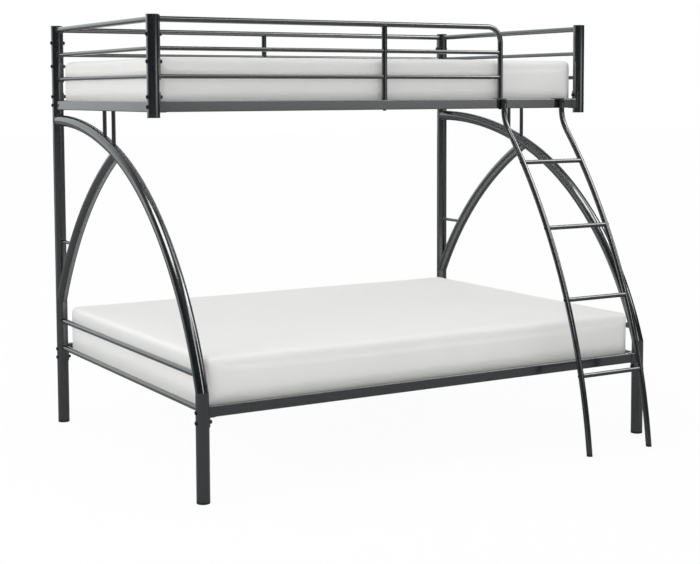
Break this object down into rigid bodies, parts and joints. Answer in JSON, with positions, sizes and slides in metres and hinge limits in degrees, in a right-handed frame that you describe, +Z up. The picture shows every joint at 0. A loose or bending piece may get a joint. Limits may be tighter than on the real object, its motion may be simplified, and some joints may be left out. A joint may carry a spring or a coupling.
{
  "type": "bunk bed",
  "caption": "Steel tube bunk bed: narrow bunk over a wider bed, with curved tube ends, guard rails, a hooked ladder with rungs, slats and two mattresses.",
  "frame": {"origin": "centre of the bounding box's underside, on the floor", "axes": "+X along the bed towards the ladder's end, -Y towards the ladder side, +Z up"},
  "size_m": [2.0074, 1.6583, 1.682],
  "materials": {
    "frame_steel": "satin powder coat, gunmetal black",
    "black_plastic": "moulded, matte",
    "bolt_steel": "blackened, semi gloss",
    "mattress_fabric": "smooth knitted cover, off white"
  },
  "bodies": {
    "frame": {"arch_braces": "frame_steel", "arch_spindles_left": "frame_steel", "arch_spindles_right": "frame_steel", "back_arch_left": "frame_steel", "back_arch_right": "frame_steel", "back_guard_bars": "frame_steel", "back_guard_post": "frame_steel", "back_guard_rail": "frame_steel", "back_post_left": "frame_steel", "back_post_right": "frame_steel", "base_end_bottom_rail_left": "frame_steel", "base_end_bottom_rail_right": "frame_steel", "base_end_top_rail_left": "frame_steel", "base_end_top_rail_right": "frame_steel", "base_rail_brackets": "frame_steel", "base_side_rail_back": "frame_steel", "base_side_rail_front": "frame_steel", "base_slat_ledges": "frame_steel", "base_slats": "frame_steel", "bunk_end_bars_left": "frame_steel", "bunk_end_bars_right": "frame_steel", "bunk_end_bearer_left": "frame_steel", "bunk_end_bearer_right": "frame_steel", "bunk_end_top_rail_left": "frame_steel", "bunk_end_top_rail_right": "frame_steel", "bunk_front_post_left": "frame_steel", "bunk_front_post_right": "frame_steel", "bunk_rail_brackets": "frame_steel", "bunk_side_rail_back": "frame_steel", "bunk_side_rail_front": "frame_steel", "bunk_slat_ledges": "frame_steel", "bunk_slats": "frame_steel", "front_guard_bars": "frame_steel", "front_guard_post": "frame_steel", "front_guard_rail": "frame_steel", "front_leg_left": "frame_steel", "front_leg_right": "frame_steel", "guard_foot_bolts": "bolt_steel", "guard_foot_inserts": "bolt_steel", "guard_plates": "frame_steel", "leg_glides": "black_plastic", "main_arch_left": "frame_steel", "main_arch_right": "frame_steel", "post_bolts": "bolt_steel", "post_nuts": "bolt_steel", "post_plugs": "black_plastic"},
    "ladder": {"ladder_feet": "black_plastic", "ladder_hook_bolts": "bolt_steel", "ladder_hooks": "frame_steel", "ladder_rail_left": "frame_steel", "ladder_rail_right": "frame_steel", "ladder_rungs": "frame_steel", "ladder_top_plugs": "black_plastic", "rung_bolts": "bolt_steel", "rung_inserts": "bolt_steel"},
    "upper_mattress": {"bunk_mattress": "mattress_fabric"},
    "lower_mattress": {"base_mattress": "mattress_fabric"}
  },
  "joints": [
    {"name": "ladder_lift", "type": "slide", "parent": "frame", "child": "ladder", "axis": [0, 0, 1], "range_m": [0, 0.06]},
    {"name": "bunk_mattress_lift", "type": "slide", "parent": "frame", "child": "upper_mattress", "axis": [0, 0, 1], "range_m": [0, 0.25]},
    {"name": "base_mattress_lift", "type": "slide", "parent": "frame", "child": "lower_mattress", "axis": [0, 0, 1], "range_m": [0, 0.2]}
  ]
}
